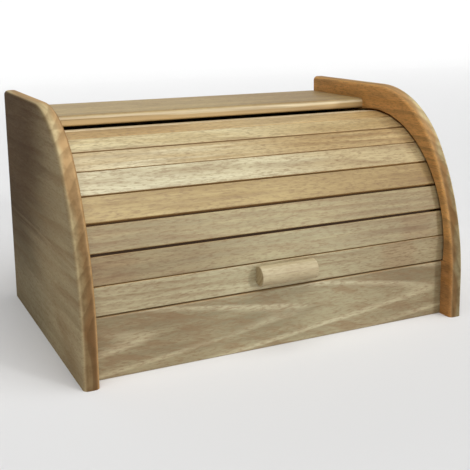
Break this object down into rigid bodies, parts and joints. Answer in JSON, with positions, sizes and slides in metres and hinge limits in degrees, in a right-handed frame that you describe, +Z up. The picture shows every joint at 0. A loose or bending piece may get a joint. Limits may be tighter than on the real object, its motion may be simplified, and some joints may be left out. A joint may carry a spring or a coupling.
{
  "type": "bread box with roll top",
  "caption": "Wooden bread box: two rounded sides, a fixed top shelf and front board, and a roll top of flat slats with a small bar handle that slides up and back in the sides.",
  "frame": {"origin": "on the ground, at the middle of the footprint", "axes": "+X along the width, -Y towards the user, where the roll top's handle is when it is closed, +Z up"},
  "size_m": [0.39, 0.281, 0.226],
  "materials": {
    "side_wood": "satin lacquered rubberwood, glued-up staves, grain front to back, end grain on the front and back edges",
    "board_wood": "satin lacquered rubberwood, plain-sawn, cathedral grain along the width",
    "shelf_wood": "satin lacquered rubberwood, glued-up staves, grain along the width",
    "slat_wood": "satin lacquered rubberwood strips, grain along the width, each strip its own shade",
    "base_wood": "thinly lacquered rubberwood, grain along the width",
    "back_ply": "thinly lacquered plywood",
    "handle_wood": "satin lacquered rubberwood, grain along the bar",
    "dowel_wood": "bare beech",
    "canvas": "dark brown cotton canvas",
    "screw_steel": "zinc-plated steel"
  },
  "bodies": {
    "case": {"left_side": "side_wood", "right_side": "side_wood", "base_board": "base_wood", "back_panel": "back_ply", "top_shelf": "shelf_wood", "front_board": "board_wood", "shelf_dowels": "dowel_wood", "front_board_dowels": "dowel_wood", "back_screws": "screw_steel"},
    "tambour": {"slat_01": "slat_wood", "slat_02": "slat_wood", "slat_03": "slat_wood", "slat_04": "slat_wood", "slat_05": "slat_wood", "slat_06": "slat_wood", "slat_07": "slat_wood", "slat_08": "slat_wood", "slat_09": "slat_wood", "slat_10": "slat_wood", "canvas_backing": "canvas", "handle": "handle_wood", "handle_screws": "screw_steel"}
  },
  "joints": [
    {"name": "tambour_roll", "type": "hinge", "parent": "case", "child": "tambour", "pos_m": [0, 0.003, 0.0695], "axis": [-1, 0, 0], "range_deg": [0, 95]}
  ]
}
